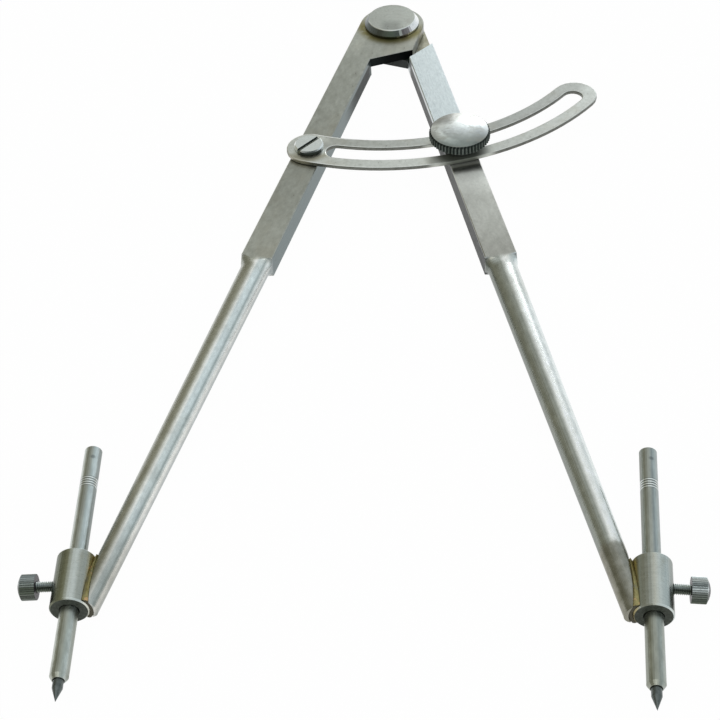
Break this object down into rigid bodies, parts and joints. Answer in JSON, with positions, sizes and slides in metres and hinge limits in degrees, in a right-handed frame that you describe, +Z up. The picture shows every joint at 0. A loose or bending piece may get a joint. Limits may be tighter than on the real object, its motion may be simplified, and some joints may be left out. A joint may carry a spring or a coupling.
{
  "type": "drawing compass",
  "caption": "Steel marking compass with a half-lap hinge, a slotted arc bar locked by a knurled knob, and clamped scriber rods with carbide points.",
  "frame": {"origin": "under the middle of the compass, on the plane that its hinge nut and clamp blocks rest on", "axes": "+Z up out of the flat compass, +Y from the points towards the hinge, +X towards the leg that carries the knob"},
  "size_m": [0.2476, 0.4248, 0.0254],
  "materials": {
    "leg_steel": "ground and brushed steel",
    "disc_steel": "turned steel",
    "arc_steel": "satin steel",
    "knob_steel": "polished steel",
    "dark_steel": "dark steel",
    "block_steel": "turned steel",
    "scriber_steel": "dull drawn steel",
    "screw_steel": "dark knurled steel",
    "braze_bronze": "rough brazing bronze",
    "carbide": "ground tungsten carbide"
  },
  "bodies": {
    "left_arm": {"left_leg": "leg_steel", "hinge_bolt": "disc_steel", "hinge_nut": "dark_steel", "arc_bar": "arc_steel", "arc_screw": "arc_steel", "left_clamp_block": "block_steel", "left_braze": "braze_bronze"},
    "right_arm": {"right_leg": "leg_steel", "lock_stud": "dark_steel", "right_clamp_block": "block_steel", "right_braze": "braze_bronze"},
    "washer": {"lock_washer": "dark_steel"},
    "knob": {"lock_knob": "knob_steel"},
    "left_screw": {"left_screw_shank": "screw_steel"},
    "left_screw_grip": {"left_screw_head": "screw_steel"},
    "right_screw": {"right_screw_shank": "screw_steel"},
    "right_screw_grip": {"right_screw_head": "screw_steel"},
    "left_scriber": {"left_scriber_rod": "scriber_steel", "left_carbide_point": "carbide"},
    "right_scriber": {"right_scriber_rod": "scriber_steel", "right_carbide_point": "carbide"}
  },
  "joints": [
    {"name": "leg_hinge", "type": "hinge", "parent": "left_arm", "child": "right_arm", "pos_m": [-0.00004, 0.19583, 0.00725], "axis": [0, 0, 1], "range_deg": [-23.5, 33.5]},
    {"name": "knob_lift", "type": "slide", "parent": "right_arm", "child": "washer", "axis": [0, 0, 1], "range_m": [0, 0.0015]},
    {"name": "knob_turn", "type": "hinge", "parent": "washer", "child": "knob", "pos_m": [0.03552, 0.08689, 0.00725], "axis": [0, 0, 1], "range_deg": [0, 540]},
    {"name": "left_screw_travel", "type": "slide", "parent": "left_arm", "child": "left_screw", "axis": [-0.9983, -0.0588, 0], "range_m": [0, 0.0028]},
    {"name": "left_screw_turn", "type": "hinge", "parent": "left_screw", "child": "left_screw_grip", "pos_m": [-0.10382, -0.16392, 0.00725], "axis": [-0.9983, -0.0588, 0], "range_deg": [0, 1440]},
    {"name": "right_screw_travel", "type": "slide", "parent": "right_arm", "child": "right_screw", "axis": [0.9983, -0.0588, 0], "range_m": [0, 0.0028]},
    {"name": "right_screw_turn", "type": "hinge", "parent": "right_screw", "child": "right_screw_grip", "pos_m": [0.10382, -0.16262, 0.00725], "axis": [0.9983, -0.0588, 0], "range_deg": [0, 1440]},
    {"name": "left_scriber_slide", "type": "slide", "parent": "left_arm", "child": "left_scriber", "axis": [0.0588, -0.9983, 0], "range_m": [-0.02, 0.03]},
    {"name": "right_scriber_slide", "type": "slide", "parent": "right_arm", "child": "right_scriber", "axis": [-0.0588, -0.9983, 0], "range_m": [-0.02, 0.03]}
  ],
  "couplings": [
    {"joint": "knob_turn", "follows": "knob_lift", "rad_per_m": 6283.1},
    {"joint": "left_screw_turn", "follows": "left_screw_travel", "rad_per_m": 8975.9},
    {"joint": "right_screw_turn", "follows": "right_screw_travel", "rad_per_m": 8975.9}
  ]
}
